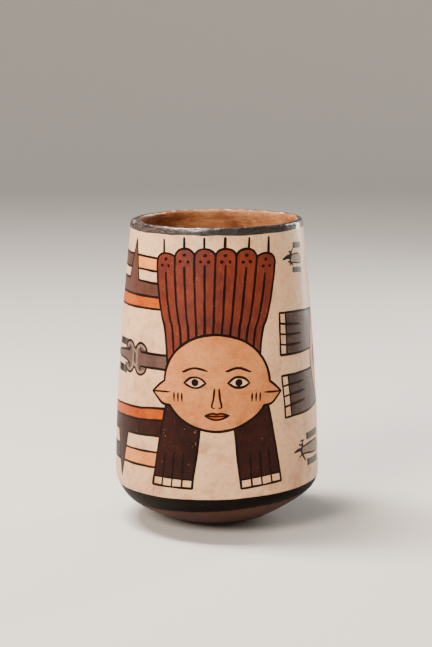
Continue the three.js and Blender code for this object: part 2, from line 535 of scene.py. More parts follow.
def paintFan(place):
    f = figureSizes
    count = f["feathers"]
    tuck = f["fanLow"] - f["fanTuck"]

    # from behind the head up to the shoulder between two feathers
    def boundary(share):
        top = lerp(f["fanTopLeft"], f["fanTopRight"], share)
        low = lerp(f["fanLowLeft"], f["fanLowRight"], share)
        outward = 2 * share - 1
        shoulder = f["fanShoulder"] + f["fanShoulderRise"] * (1 - abs(outward) ** 4)
        path = []
        for i in range(7):
            t = i / 6
            path.append((lerp(low, top, t) + outward * f["fanBow"] * 4 * t * (1 - t), lerp(f["fanLow"], shoulder, t)))
        below = (low - (top - low) * 0.1 + outward * -1.8, tuck)
        return smooth([below] + path)

    tops = []
    for i in range(count):
        left, right = boundary(i / count), boundary((i + 1) / count)
        middle = (2 * i + 1) / count - 1
        a, b = left[-1], right[-1]
        crown = f["fanTop"] - f["fanTopDrop"] * abs(middle) ** 6
        ends = np.linspace(0, 1, 14)
        archX = lerp(a[0], b[0], 0.5 - 0.5 * np.cos(ends * math.pi))
        baseline = lerp(a[1], b[1], ends)
        archY = baseline + (crown - baseline) * np.sin(ends * math.pi) ** 0.92
        arch = np.stack([archX, archY], 1)
        tops.append((arch, crown, (a[0] + b[0]) / 2))
        fill("iron red slip", turned(np.vstack([left, arch[1:-1], right[::-1]]), place))
    for i in range(count):
        arch, crown, x = tops[i]
        rib = boundary((i + 0.5) / count)
        keep = rib[:, 1] < f["ribTop"] - f["ribTopDrop"] * ((2 * i + 1) / count - 1) ** 2
        stroke(turned(rib[keep], place), taper=(1, 0.85))
        stroke(turned(arch, place), taper=(1, 1))
        for dx, drop in ((0, f["dotDrop"]), (-f["pairGap"], f["pairDrop"]), (f["pairGap"], f["pairDrop"])):
            centre = turned([(x + dx * 0.98 + spotDice.uniform(-0.3, 0.3), crown - drop)], place)[0]
            spot("black line", centre, f["dotRadius"] * spotDice.uniform(0.85, 1.15), f["dotRadius"] * 0.85)
        lean = 0.15 + 0.8 * ((2 * i + 1) / count - 1)
        x += f["quillShifts"][i]
        quill = [(x - lean * 0.2, crown - 0.2), (x + lean, f["quillTops"][i])]
        stroke(turned(subdivide(quill), place), f["quillWidth"], taper=(1, 0.85))
    for i in range(count + 1):
        stroke(turned(boundary(i / count), place), taper=(1, 1))


# spread holds the hand's inner and outer x beside the chin and at the nails, and the nails' y
def paintHands(place, spread, slip):
    f = figureSizes
    innerTop, outerTop, innerLow, outerLow, nails = spread
    for way in (-1, 1):
        topInner = np.array([way * innerTop, f["handInnerTop"]])
        topOuter = np.array([way * outerTop, f["handOuterTop"]])
        lowInner = np.array([way * innerLow, nails])
        lowOuter = np.array([way * outerLow, nails + f["nailSlant"] + f["nailLean"] * way])
        bow = np.array([way * 0.5, 0.0])
        outerSide = smooth([topOuter, (topOuter + lowOuter) / 2 + bow, lowOuter])
        innerSide = smooth([topInner, (topInner + lowInner) / 2 - bow * 0.4, lowInner])
        fill(slip, turned(np.vstack([innerSide, outerSide[::-1]]), place))
        up = np.array([0, f["nailHeight"]])
        upInner = lowInner + up + np.array([way * -0.5, 0])
        upOuter = lowOuter + up + np.array([way * -0.8, 0])
        fill("cream slip", turned([lowInner, upInner, upOuter, lowOuter], place))
        stroke(turned(subdivide([upInner, upOuter]), place), brush["thinLine"], taper=(1, 1))
        for n in (1, 2, 3):
            low, high = lerp(lowInner, lowOuter, n / 4), lerp(upInner, upOuter, n / 4)
            tip = high + np.array([way * -1.9 * n / 4, f["fingerLine"] - abs(n - 2) * 0.6])
            stroke(turned(subdivide([low, high]), place), brush["thinLine"], taper=(1, 1))
            stroke(turned(subdivide([high, tip]), place), taper=(1, 0.5))
        stroke(turned(innerSide, place), taper=(1, 1))
        stroke(turned(outerSide, place), taper=(1, 1))
        stroke(turned(subdivide([lowInner, lowOuter]), place), taper=(1, 1))


# A plain oval with pointed ears that run from the eyes' line to the nose's end, their tips half way
def earTip():
    return figureSizes["headHalfWidth"] + figureSizes["earReach"], (faceSizes["eyeLine"] + faceSizes["noseEnd"]) / 2


def headOutline():
    w, h = figureSizes["headHalfWidth"], figureSizes["headHalfHeight"]
    earTop, earLow, tip = faceSizes["eyeLine"], faceSizes["noseEnd"], earTip()
    crown = arc((0, 0), w, h, 90, math.degrees(math.asin(earTop / h)))
    jaw = arc((0, 0), w, h, math.degrees(math.asin(earLow / h)), -90)
    out = smooth([crown[-1], (w + 3.4, earTop - 2.6), tip])
    back = smooth([tip, (w + 1.0, earLow + 0.9), jaw[0]])
    half = np.vstack([crown, out[1:], back[1:], jaw[1:]])
    return np.vstack([half, half[::-1][1:-1] * (-1, 1)])


# The face is plain and calm, on ordinary proportions: eyes half way up the head, one eye's width
# apart, the nose's end half way from them to the chin and the mouth a third of the way on from there.

faceSizes = {
    "eyeLine": 0.0, "eyeAt": 13.0, "eyeHalfWidth": 6.5, "eyeHalfHeight": 3.3, "iris": 2.2,
    # half widths across and half heights up, over the top and back underneath
    "upperLid": ((-1, 0), (-0.45, 0.86), (0.1, 1), (0.62, 0.7), (1, 0)),
    "lowerLid": ((1, 0), (0.5, -0.62), (0, -0.8), (-0.5, -0.6), (-1, 0)),
    "upperLip": ((-1, 0), (-0.4, 0.8), (0, 0.55), (0.4, 0.8), (1, 0)),
    "lowerLip": ((1, 0), (0.45, -1), (0, -1.25), (-0.45, -1), (-1, 0)),
    "browRise": 7.4, "browHalfWidth": 7.6, "browArch": 2.2,
    "noseEnd": -13.75, "noseHalfWidth": 2.9, "mouthLine": -18.3, "mouthHalfWidth": 7.0, "lipHeight": 1.8,
    "cheekStripes": 3, "cheekStripeAt": 21.0, "cheekStripeGap": 2.5, "cheekStripeTop": -6.0, "cheekStripeLow": -11.0,
}


def paintFace(place):
    f = faceSizes

    # a lid's or lip's two curves as one loop round the middle
    def almond(upper, lower, x, y, w, h):
        over, under = [smooth([(x + w * a, y + h * b) for a, b in f[name]]) for name in (upper, lower)]
        return np.vstack([over, under[1:-1]])

    y, w, h = f["eyeLine"], f["eyeHalfWidth"], f["eyeHalfHeight"]
    for way in (-1, 1):
        x = way * f["eyeAt"]
        eye = almond("upperLid", "lowerLid", x, y, w, h)
        fill("cream slip", turned(eye, place))
        spot("black line", turned([(x, y + 0.2)], place)[0], f["iris"], sides=16, roughness=0.05)
        stroke(turned(eye, place), closed=True)
        brow = f["browRise"] + y
        stroke(turned(smooth([(x - f["browHalfWidth"], brow - f["browArch"] * (0.6 if way < 0 else 0.35)),
                              (x, brow + f["browArch"] * 0.5),
                              (x + f["browHalfWidth"], brow - f["browArch"] * (0.35 if way < 0 else 0.6))]), place),
               brush["lineWidth"], taper=(0.6, 0.6))
        for n in range(f["cheekStripes"]):
            sx = way * (f["cheekStripeAt"] + n * f["cheekStripeGap"])
            stroke(turned(subdivide([(sx, f["cheekStripeTop"]), (sx - way * 0.3, f["cheekStripeLow"])]), place),
                   brush["thinLine"])
        nose = f["noseHalfWidth"] * way
        stroke(turned(smooth([(nose * 0.45, y - 3.0), (nose * 0.62, -8.0), (nose, f["noseEnd"] + 0.6),
                              (nose * 0.35, f["noseEnd"])]), place), brush["thinLine"])
    m, mw, lh = f["mouthLine"], f["mouthHalfWidth"], f["lipHeight"]
    lips = almond("upperLip", "lowerLip", 0.0, m, mw, lh)
    fill("orange slip", turned(lips, place))
    stroke(turned(lips, place), brush["thinLine"], closed=True)
    stroke(turned(smooth([(-mw, m), (0, m - 0.25), (mw, m)]), place), brush["thinLine"] * 0.85)


def paintHead(place):
    outline = turned(headOutline(), place)
    tipX, tipY = earTip()
    fill("flesh slip", outline)
    stroke(outline, brush["lineWidth"] * 1.05, closed=True)
    for way in (-1, 1):
        line = [(way * tipX, tipY), (way * (tipX - figureSizes["earFold"]), tipY + 0.8)]
        stroke(turned(subdivide(line), place), brush["thinLine"])
    paintFace(place)


# Small winged creatures: a beak, feelers, a wedge of a body and a barred wing on each side. Their own points
# are millimetres from where the body begins, the body running to the right.

creatureSizes = {
    "wedge": ((0.6, 1.8), (10.5, 2.5), (23.0, 2.8), (26.5, -0.8), (23.5, -4.8), (15.0, -4.1), (8.0, -3.1), (1.2, -2.2)),
    "wingHigh": ((6.2, 4.9), (6.0, 9.2), (25.0, 9.2), (25.4, 5.0)),
    "wingLow": ((6.4, -6.4), (6.9, -10.5), (26.0, -11.1), (25.2, -6.8)),
    "wingDark": 0.12,
    # path and width of each thick line
    "beak": (((0.4, 0.4), (-3.0, 0.7), (-6.8, 0.0)), 2.3),
    "back": (((1.6, 2.9), (0.2, 1.2), (0.2, -1.2), (2.4, -4.2), (4.8, -7.0)), 2.3),
    "feelers": (((0.9, 2.2), (1.3, 4.0), (2.1, 5.2), (3.4, 6.0)), ((0.9, 3.9), (-0.8, 3.3), (-2.4, 3.9)),
                ((1.9, 5.0), (0.6, 5.8), (-0.8, 5.6)), ((0.1, -1.8), (-0.9, -3.2), (-2.2, -3.6))),
    "feelerWidth": 1.4, "edgeWidth": 1.3,
}

# the one high on the right is shorter, with a long beak
highCreature = dict(
    creatureSizes,
    wedge=((0.6, 1.8), (5.0, 2.4), (11.0, 2.0), (14.5, -0.6), (12.5, -3.6), (7.0, -3.2), (4.0, -2.8), (1.0, -2.2)),
    wingHigh=((2.5, 5.4), (3.1, 8.8), (14.6, 8.1), (13.8, 4.9)),
    wingLow=((0.8, -4.9), (0.3, -8.1), (12.6, -9.0), (13.2, -5.9)),
    edgeWidth=0.8, beak=(((-0.6, 0.9), (-4.6, 1.0), (-8.7, 0.1)), 2.6),
    back=(((0.2, 3.0), (-0.9, 1.6), (-1.0, -0.8), (-0.6, -2.6)), 2.8),
    feelers=(((-0.2, 2.4), (1.0, 4.0), (2.4, 5.2)), ((-0.4, 3.0), (-1.4, 3.9), (-2.4, 3.7)),
             ((-0.8, -1.6), (-2.2, -1.9), (-3.5, -1.7)), ((-0.6, -2.4), (-2.0, -3.9)), ((-0.3, -2.6), (1.7, -4.0))))


def paintCreature(c, place, scaleX=1.0, scaleY=1.0):
    def at(points):
        return turned(np.array(points, float) * (scaleX, scaleY), place)

    fill("pale mauve slip", at(smooth(c["wedge"], closed=True, step=1.2)))
    for edge in (c["wedge"][:3], c["wedge"][:3:-1]):
        stroke(at(smooth(edge, step=1.0)), c["edgeWidth"] * scaleY, taper=(1, 0.3))
    for wing in (c["wingHigh"], c["wingLow"]):
        root, tip = np.array(wing[:2]), np.array(wing[:1:-1])
        fill("smoky slip", at(wing))
        inner = lerp(root, tip, c["wingDark"])
        fill("black line", at([root[0], root[1], inner[1], inner[0]]))
    for path, width in (c["beak"], c["back"]):
        stroke(at(smooth(path, step=0.8)), width * scaleY, taper=(0.9, 0.45))
    for path in c["feelers"]:
        stroke(at(smooth(path, step=0.7)), c["feelerWidth"] * scaleY, taper=(1, 0.7))


# Wear that shows the layer beneath: flecks on the dark hands, pits and nicks elsewhere

wearSizes = {
    "handFlecks": 24, "wallPits": 170, "bandFlecks": 22, "rimNicks": 5, "seed": 21,
    "handHeights": (54, 67), "handEdges": ((-32.3, 0.7), (-12.6, 0.3)),      # each edge's middle and spread
    "pitLow": 26, "pitRise": 148, "bandHeights": ((133, 161), (42, 74)), "bandAcross": (-160, -40),
    "crack": ((-37.9, 9.0), (-38.4, 4.2), (-39.2, -0.4), (-39.8, -3.4)), "crackWidth": 0.32,
}


def paintWear():
    w = wearSizes
    dice = random.Random(w["seed"])
    for n in range(w["handFlecks"]):        # most of them near the left hand's two edges
        height = dice.uniform(*w["handHeights"])
        if n % 2:
            x, slip = dice.gauss(*w["handEdges"][0 if n % 4 == 1 else 1]), "cream slip"
        else:
            x, slip = dice.uniform(13, 36) * dice.choice((-1, 1)), "pale mauve slip"
            height -= dice.uniform(0, 12)
        size = dice.uniform(0.08, 0.17)
        spot(slip, (x, heightUp(height)), size, size * dice.uniform(0.7, 1.8), sides=6, roughness=0.4, dice=dice)
    for _ in range(w["wallPits"]):          # grit that fell out, most of it low down
        height = w["pitLow"] + w["pitRise"] * dice.random() ** 1.6
        size = dice.uniform(0.1, 0.3)
        spot("fired clay", (dice.uniform(-halfRound + 2, halfRound - 2), heightUp(height)), size,
             size * dice.uniform(0.7, 1.3), sides=6, roughness=0.35, dice=dice)
    for _ in range(w["bandFlecks"]):
        height = dice.choice([dice.uniform(*heights) for heights in w["bandHeights"]])
        size = dice.uniform(0.08, 0.18)
        spot("cream slip", (dice.uniform(*w["bandAcross"]), heightUp(height)), size * 1.4, size, sides=6,
             roughness=0.4, dice=dice)
    for _ in range(w["rimNicks"]):
        y = dice.uniform(heightUp(ringSizes["rimHeight"]) + 0.4, marks["lipCrest"])
        spot("worn clay", (dice.uniform(-halfRound + 2, halfRound - 2), y), dice.uniform(0.2, 0.45),
             dice.uniform(0.15, 0.3), sides=8, roughness=0.4, dice=dice)
    stroke(smooth(w["crack"], step=0.8), w["crackWidth"], "fired clay", taper=(0.3, 0.6))


firstFigure = (0.0, heightUp(93.0), 0.0)
secondFigure = (102.6, heightUp(100.4), -90.0)      # lies on its side, its fan towards the back
firstHands = (9.4, 30.2, 14.2, 39.4, -61.0)
secondHands = (6.0, 27.3, 6.0, 30.3, -61.0)


def paintCup():
    paintRings()
    paintBands(bands["upper"])
    paintBands(bands["lower"])
    paintStem()
    # the second figure's hands get a lighter, greyer slip: wear flecks and a painted sheen
    for place, hands, slip in ((firstFigure, firstHands, "dark brown slip"),
                               (secondFigure, secondHands, "worn brown slip with painted sheen")):
        paintFan(place)
        paintHands(place, hands, slip)
        paintHead(place)
    paintCreature(highCreature, (56.8, heightUp(160.4), 0))
    paintCreature(creatureSizes, (57.4, heightUp(48.6), 0), 0.98)
    paintCreature(creatureSizes, (-122.0, heightUp(103.0), 180), 0.9, 0.95)
    paintWear()


# The flat sheet: a triangle net that follows every painted edge

sheetSizes = {
    "columns": 150, "lipColumns": 300, "outsideStep": 2.5, "lipStep": 0.9, "insideStep": 3.6, "flatStep": 6.0,
    "lipBefore": 3, "lipAfter": 4,          # mm past the lip's ends that still get its columns
    "clearOfEdges": 0.75, "merge": 1e-4, "smallest": 1e-7,
}


def rowsBetween(low, high, step):
    count = max(1, int(round((high - low) / step)))
    return [low + (high - low) * i / count for i in range(count)]


def sheetRows():
    s = sheetSizes
    rows = rowsBetween(marks["axisUnder"], marks["restEdge"], s["flatStep"])
    rows += rowsBetween(marks["restEdge"], marks["lipStart"], s["outsideStep"])
    rows += rowsBetween(marks["lipStart"], marks["lipEnd"], s["lipStep"])
    rows += rowsBetween(marks["lipEnd"], marks["floorEdge"], s["insideStep"])
    rows += rowsBetween(marks["floorEdge"], marks["axisInside"], s["flatStep"])
    return rows + [marks["axisInside"]]


# Winding of each point in a set of loops: not zero inside
def insideLoop(points, loops):
    winding = np.zeros(len(points), int)
    x, y = points[:, 0], points[:, 1]
    for loop in loops:
        after = np.roll(loop, -1, 0)
        for (x1, y1), (x2, y2) in zip(loop, after):
            upward = (y1 <= y) & (y2 > y)
            downward = (y1 > y) & (y2 <= y)
            side = (x2 - x1) * (y - y1) - (x - x1) * (y2 - y1)
            winding += upward & (side > 0)
            winding -= downward & (side < 0)
    return winding != 0


def buildSheet():
    s = sheetSizes
    rows = sheetRows()
    top = marks["axisInside"]
    outlines = []
    edges = []
    for slip, loops in painted:
        for loop in loops:
            first = len(outlines)
            clipped = np.clip(loop, (-halfRound, marks["axisUnder"]), (halfRound, top))
            outlines += [tuple(p) for p in clipped]
            edges += [(first + i, first + (i + 1) % len(loop)) for i in range(len(loop))]
    tree = kdtree.KDTree(len(outlines))
    for i, p in enumerate(outlines):
        tree.insert((p[0], p[1], 0), i)
    tree.balance()
    points = list(outlines)
    for row in rows:
        onLip = marks["lipStart"] - s["lipBefore"] < row < marks["lipEnd"] + s["lipAfter"]
        columns = s["lipColumns"] if onLip else s["columns"]
        for i in range(columns + 1):
            x = -halfRound + wayRound * i / columns
            onEdge = i in (0, columns) or row in (rows[0], rows[-1])
            if onEdge or tree.find((x, row, 0))[2] > s["clearOfEdges"]:
                points.append((x, row))
    corners = [(-halfRound, rows[0]), (halfRound, rows[0]), (halfRound, top), (-halfRound, top)]
    first = len(points)
    points += corners
    edges += [(first + i, first + (i + 1) % 4) for i in range(4)]
    result = geometry.delaunay_2d_cdt([Vector(p) for p in points], edges, [], 0, s["merge"], False)
    verts = np.array([(p.x, p.y) for p in result[0]])
    faces = np.array([f if len(f) == 3 else f[:3] for f in result[2]])
    a, b, c = verts[faces[:, 0]], verts[faces[:, 1]], verts[faces[:, 2]]
    area = 0.5 * ((b - a)[:, 0] * (c - a)[:, 1] - (b - a)[:, 1] * (c - a)[:, 0])
    kept = np.abs(area) > s["smallest"]
    faces, area = faces[kept], area[kept]
    faces[area < 0] = faces[area < 0][:, ::-1]
    centres = verts[faces].mean(1)
    slipNames = list(slips)
    slipOf = np.full(len(faces), slipNames.index("fired clay"))
    order = np.argsort(centres[:, 0])
    sortedX = centres[order, 0]
    for slip, loops in painted:
        low = np.min([loop.min(0) for loop in loops], 0)
        high = np.max([loop.max(0) for loop in loops], 0)
        near = order[np.searchsorted(sortedX, low[0]):np.searchsorted(sortedX, high[0], "right")]
        near = near[(centres[near, 1] >= low[1]) & (centres[near, 1] <= high[1])]
        if len(near):
            slipOf[near[insideLoop(centres[near], loops)]] = slipNames.index(slip)
    insideCup = (centres[:, 1] > marks["lipCrest"]) & (slipOf == slipNames.index("fired clay"))
    slipOf[insideCup] = slipNames.index("smoothed inside clay")

    mesh = bpy.data.meshes.new("painted sheet")
    mesh.from_pydata([(x * mm, y * mm, 0) for x, y in verts], [], faces.tolist())
    slipAttribute = mesh.attributes.new("slip", "INT", "FACE")
    slipAttribute.data.foreach_set("value", slipOf.astype(np.int32))
    layOutMap(mesh, verts)
    sheet = bpy.data.objects.new("sheet", mesh)
    bpy.context.scene.collection.objects.link(sheet)
    print("sheet:", len(painted), "painted shapes,", len(faces), "triangles, %.1f s" % (time.time() - startTime))
    return sheet


# The unrolled cup as its own map: most of the room goes to the outside
def layOutMap(mesh, verts):
    ups = [marks["axisUnder"], marks["restEdge"], marks["lipCrest"], marks["floorEdge"], marks["axisInside"]]
    shares = [0.006, 0.03, 0.62, 0.965, 0.994]
    across = 0.004 + 0.992 * (verts[:, 0] / wayRound + 0.5)
    up = np.interp(verts[:, 1], ups, shares)
    uv = mesh.uv_layers.new(name="OFBake")
    loopVerts = np.empty(len(mesh.loops), np.int32)
    mesh.loops.foreach_get("vertex_index", loopVerts)
    flat = np.stack([across[loopVerts], up[loopVerts]], 1).astype(np.float32)
    uv.data.foreach_set("uv", flat.ravel())


# Wrapping: the cup's section as curves, and the sheet rolled round it

def buildWrapTree(materials):
    tree = bpy.data.node_groups.new("wrap painted sheet onto cup", "GeometryNodeTree")
    tree.interface.new_socket("Sheet", in_out="INPUT", socket_type="NodeSocketGeometry")
    for name in cupSizes:
        tree.interface.new_socket(name, in_out="INPUT", socket_type="NodeSocketFloat")
    tree.interface.new_socket("Cup", in_out="OUTPUT", socket_type="NodeSocketGeometry")
    given = addNode(tree, "NodeGroupInput").outputs
    sums = "ShaderNodeMath"
    value = {name: given[name] for name in cupSizes}
    for name, operation, a, b in derivedSizes:
        value[name] = addNode(tree, sums, (value[a], value.get(b, b)), operation=operation)
    at = {name: addNode(tree, "ShaderNodeCombineXYZ", {"X": value.get(out, out), "Z": value.get(up, up)})
          for name, (out, up) in sectionPoints.items()}

    sockets = {2: ("Start", "End"), 3: ("Start", "Middle", "End"), 4: ("Start", "Start Handle", "End Handle", "End")}
    modes = {"PrimitiveLine": "POINTS", "PrimitiveBezierSegment": "POSITION", "Arc": "POINTS"}
    pieces = []
    for kind, steps, *names in sectionPieces:
        inputs = {socket: at[name] for socket, name in zip(sockets[len(names)], names)}
        if steps > 1:
            inputs["Resolution"] = steps
        settings = {"mode": modes[kind]} if kind in modes else {}
        pieces.append(addNode(tree, "GeometryNodeCurve" + kind, inputs, **settings))
    section = addNode(tree, "GeometryNodeJoinGeometry")
    for piece in reversed(pieces):      # a join lists its last link first
        tree.links.new(piece.outputs[0], section.inputs[0])
    under, heel = [addNode(tree, "GeometryNodeCurveLength", (piece,)) for piece in pieces[:2]]
    bellyMark = addNode(tree, sums, (under, heel), operation="ADD")

    flat = addNode(tree, "ShaderNodeSeparateXYZ", (addNode(tree, "GeometryNodeInputPosition"),)).outputs
    along = addNode(tree, sums, (flat["Y"], bellyMark), operation="ADD")
    sample = addNode(tree, "GeometryNodeSampleCurve", {"Curves": section, "Length": along}, mode="LENGTH",
                     use_all_curves=True)
    onSection = addNode(tree, "ShaderNodeSeparateXYZ", (sample.outputs["Position"],)).outputs
    angle = addNode(tree, sums, (flat["X"], given["Belly Radius"]), operation="DIVIDE")
    sine = addNode(tree, sums, (angle,), operation="SINE")
    cosine = addNode(tree, sums, (angle,), operation="COSINE")
    across = addNode(tree, sums, (onSection["X"], sine), operation="MULTIPLY")
    towards = addNode(tree, sums, (onSection["X"], cosine), operation="MULTIPLY")
    away = addNode(tree, sums, (towards, -1.0), operation="MULTIPLY")
    place = addNode(tree, "ShaderNodeCombineXYZ", (across, away, onSection["Z"]))
    wrapped = addNode(tree, "GeometryNodeSetPosition", {"Geometry": given["Sheet"], "Position": place})
    closed = addNode(tree, "GeometryNodeMergeByDistance", {"Geometry": wrapped, "Distance": 2e-6})
    shaded = addNode(tree, "GeometryNodeSetShadeSmooth", {"Geometry": closed})
    last = addNode(tree, "GeometryNodeRealizeInstances", {"Geometry": shaded})
    slipNumber = addNode(tree, "GeometryNodeInputNamedAttribute", {"Name": "slip"}, data_type="INT")
    for number, material in enumerate(materials):
        isThis = addNode(tree, "FunctionNodeCompare", {2: slipNumber, 3: number}, data_type="INT", operation="EQUAL")
        last = addNode(tree, "GeometryNodeSetMaterial", {"Geometry": last, "Selection": isThis, "Material": material})
    addNode(tree, "NodeGroupOutput", (last,))
    return tree


def wrapSheet(sheet, materials):
    tree = buildWrapTree(materials)
    sheet.data.materials.append(materials[0])
    modifier = sheet.modifiers.new("wrap", "NODES")
    modifier.node_group = tree
    sockets = {item.name: item.identifier for item in tree.interface.items_tree if item.in_out == "INPUT"}
    for name, size in cupSizes.items():
        modifier[sockets[name]] = size * mm
    depsgraph = bpy.context.evaluated_depsgraph_get()
    wrapped = bpy.data.meshes.new_from_object(sheet.evaluated_get(depsgraph), preserve_all_data_layers=True,
                                              depsgraph=depsgraph)
    sheet.modifiers.remove(modifier)
    bpy.data.objects.remove(sheet)
    wrapped.name = "slip_painted_cup"
    piece = bpy.data.objects.new("slip_painted_cup", wrapped)
    bpy.context.scene.collection.objects.link(piece)
    return piece


# The same unevenness as the solid's, and on it the fine ripple of the scraped and burnished wall
def makeUneven(mesh):
    n = unevenness
    count = len(mesh.vertices)
    co = np.empty(count * 3, np.float32)
    mesh.vertices.foreach_get("co", co)
    co = co.reshape(-1, 3).astype(float) / mm
    lipMiddle = cupSizes["Mouth Radius"] - cupSizes["Lip Thickness"] / 2
    for i in range(count):
        x, y, z = co[i]
        radius = math.hypot(x, y)
        if radius < 1e-6:
            continue
        angle = math.degrees(math.atan2(x, -y))
        underLip = cupSizes["Height"] - z
        swell = n["heelSwell"] * bump(z - n["heelSwellTop"] / 2, n["heelSwellTop"] / 2)
        swell *= math.cos(math.radians(angle - n["heelSwellAngle"]))
        oval = n["outOfRound"] * z / cupSizes["Height"] * math.cos(2 * math.radians(angle - n["outOfRoundAngle"]))
        wave = n["lipWave"] * bump(underLip, n["lipWaveDepth"]) * math.cos(math.radians(angle - n["lipWaveAngle"]))
        nearLip = bump(underLip, n["lipLumpDepth"])
        lump = n["lipLump"] * nearLip * bump(angleGap(angle, n["lipLumpAngle"]), 2 * n["lipLumpSpread"])
        if radius > lipMiddle:
            lump = 0.0      # the outside stays true
        ripple = n["ripple"] * noise.noise(Vector((x, y, z * n["rippleTall"])) / n["rippleSpacing"])
        ripple *= min(1.0, z / n["rippleFrom"])
        rubbed = 1 + n["rubbedPits"] * bump(angleGap(angle, n["lipLumpAngle"]), 1.5 * n["lipLumpSpread"])
        pits = n["lipPits"] * nearLip * rubbed * noise.noise(Vector((x, y, z)) / n["lipPitSpacing"])
        share = (radius + swell + oval - lump + ripple + pits * n["pitsOut"]) / radius
        co[i] = (x * share, y * share, z + wave + pits * n["pitsUp"])
    mesh.vertices.foreach_set("co", (co * mm).astype(np.float32).ravel())
    mesh.update()


# Materials: earth slips brushed on leather-hard clay, burnished with a pebble and fired. Each names how it was made,
# its colours (where it pooled, where it lies even, where the brush lifted, and what shows beneath it where a speck
# has popped off) and what else sets it apart from the usual slip.

usualSlip = {
    "roughness": 0.44, "shine": 0.25,
    "lift": 0.7,                 # how much of the lifted brush's colour shows
    "flecks": 0.02,              # share of specks popped off
    "grit": 0.010, "lumps": 0.02,               # mm of relief
    "brushUp": False,            # painted with upright strokes
    "coarse": 1.0,               # how much broader than a brush it was spread
}

slips = {
    # low-fired iron-rich clay, only scraped: dry red-brown with darker fire clouds, its colours darkened as painted
    # shade of the underside
    "fired clay": dict(made="iron-rich clay, scraped and fired", colours="#331E17 #47291D #5F3927 #A87A58",
                       roughness=0.62, grit=0.02, lumps=0.05, flecks=0.03),
    # wiped smooth by hand inside: brighter orange, with darker rings left by the wiping; the dark streaks under the lip
    # have a colour of their own
    "smoothed inside clay": dict(made="iron-rich clay, hand wiped inside", colours="#744428 #99613C #C08A5C #D8AF86",
                                 roughness=0.6, grit=0.016, lumps=0.10, flecks=0.04, lift=0.9, shine=0.2, coarse=2.6),
    "inside streak": dict(made="iron-rich clay, dark inside streak", colours="#623A21 #7A4B2D #99643D #AF8057",
                        roughness=0.62, grit=0.016, lumps=0.10, flecks=0.04, lift=1.0, shine=0.2),
    # white clay: a warm cream, pebbled to a soft sheen and stained by age
    "cream slip": dict(made="white clay slip, pebble burnished", colours="#ECC59D #E9BD92 #DBAB7F #A87850",
                       roughness=0.40, grit=0.012, lumps=0.03, lift=0.4, shine=0.4),
    # haematite: deep brick red, purplish where thick and more orange where the brush lifted
    "iron red slip": dict(made="haematite slip, brushed and burnished", colours="#551F18 #6A2512 #873A1B #C98A63",
                          roughness=0.42, brushUp=True),
    # manganese and iron: the brown of the hands, almost black where it pooled
    "dark brown slip": dict(made="manganese slip, brushed and burnished", colours="#200E0A #2C130E #432018 #B59A80",
                            roughness=0.42, flecks=0.012, lift=0.45, brushUp=True, shine=0.1),
    # the second figure's hands are rubbed thin and mottled, and painted lighter and greyer as a sheen
    "worn brown slip with painted sheen": dict(made="manganese slip, worn thin with painted sheen", colours="#24110D #37201A #674A3F #A68D7C",
                              roughness=0.42, grit=0.012, lumps=0.03, flecks=0.06, lift=0.85, shine=0.3),
    # the brown let down with white: a dusty mauve brown, then greys with a little mauve
    "mauve brown slip": dict(made="mauve brown slip, burnished", colours="#45261F #512F25 #664032 #C8B5A0", lift=0.6),
    "grey mauve slip": dict(made="grey mauve slip, burnished", colours="#4E3731 #5A423A #70554B #C8B5A0", lift=0.6),
    "pale mauve slip": dict(made="pale mauve slip, burnished", colours="#776054 #887063 #9F8676 #D8C5B0", lift=0.8),
    # lampblack in it: a smoky grey, brushed so thin that it is uneven
    "smoky slip": dict(made="smoky grey slip, thinly brushed", colours="#221B18 #342B27 #5D514B #C8B5A0",
                       flecks=0.08, lift=0.8),
    # yellow ochre over red: the strong orange of the broad bands, and the same let down with white
    "orange slip": dict(made="orange ochre slip, burnished", colours="#9E3D02 #B14903 #C66915 #E0B48A",
                        roughness=0.42, shine=0.12),
    "pale orange slip": dict(made="pale ochre slip, burnished", colours="#DE8434 #E89140 #EAA760 #EAD2B4",
                             roughness=0.42),
    # ochre and white: the tan of the skin
    "flesh slip": dict(made="tan ochre slip, burnished", colours="#BF713A #CD8247 #D7985E #B57A4E",
                       roughness=0.40, lumps=0.03, lift=0.6, shine=0.3),
    # the black of the outlines, brown where the brush ran dry
    "black line": dict(made="black line slip, fine brush", colours="#0B0503 #110704 #24110A #7A5540",
                       roughness=0.48, lumps=0.0, shine=0.1),
    # thick black at the rim, rubbed by hands until it shines like graphite, and grey where it is scuffed
    "black rim slip": dict(made="black rim slip, polished by handling", colours="#12100F #1E1A19 #3C3532 #8C8078",
                           roughness=0.27, grit=0.006, lumps=0.13, lift=0.8, shine=0.8),
    "scuffed rim slip": dict(made="black rim slip, scuffed grey", colours="#40322F #55433F #78625A #A8978A",
                             roughness=0.4, grit=0.015, lumps=0.10, flecks=0.06, lift=0.9, shine=0.4),
    # the same black low down, where the pebble left it dull
    "black base slip": dict(made="black base slip, burnished", colours="#080605 #0C0908 #18110D #6E5545",
                            roughness=0.5, lumps=0.03, shine=0.06),
    # clay laid bare where the slip has rubbed or popped off: pale and dry
    "worn clay": dict(made="clay bared by wear", colours="#AE8F70 #CDB094 #DDC6AE #8A6446",
                      roughness=0.7, grit=0.02, lumps=0.05, flecks=0.06, lift=0.8, shine=0.3),
}

finish = {
    "cloudSize": 24.0,        # mm across the drift from thick to thin slip
    "patchSize": 7.0,
    "streakFine": 0.7, "streakLong": 5.5,     # mm between brush marks and along them
    "grainSize": 0.45,        # sand in the clay, drawn a little coarser than real so that it shows
    "mottleSize": 2.4, "mottle": 0.5, "mottleColour": "#D9BC9C",       # small warm blotches
    "fleckSize": 0.8, "fleckReach": 0.27, "fleckShow": 0.75,           # cells that the popped-off specks sit in
    "lumpSize": 5.0,
    "stainSize": 15.0, "stain": 0.45, "stainAndShadeColour": "#A67C5C",        # brown of age, in soft clouds; the same brown is the painted shade low on the wall
    "footShadeAndStain": 120.0, "footShadeAndStainFull": 15.0,      # heights in mm between which the wall darkens low down: part age stain, part painted shade
    "streakRelief": 0.016, "fleckDepth": -0.03,     # mm
}


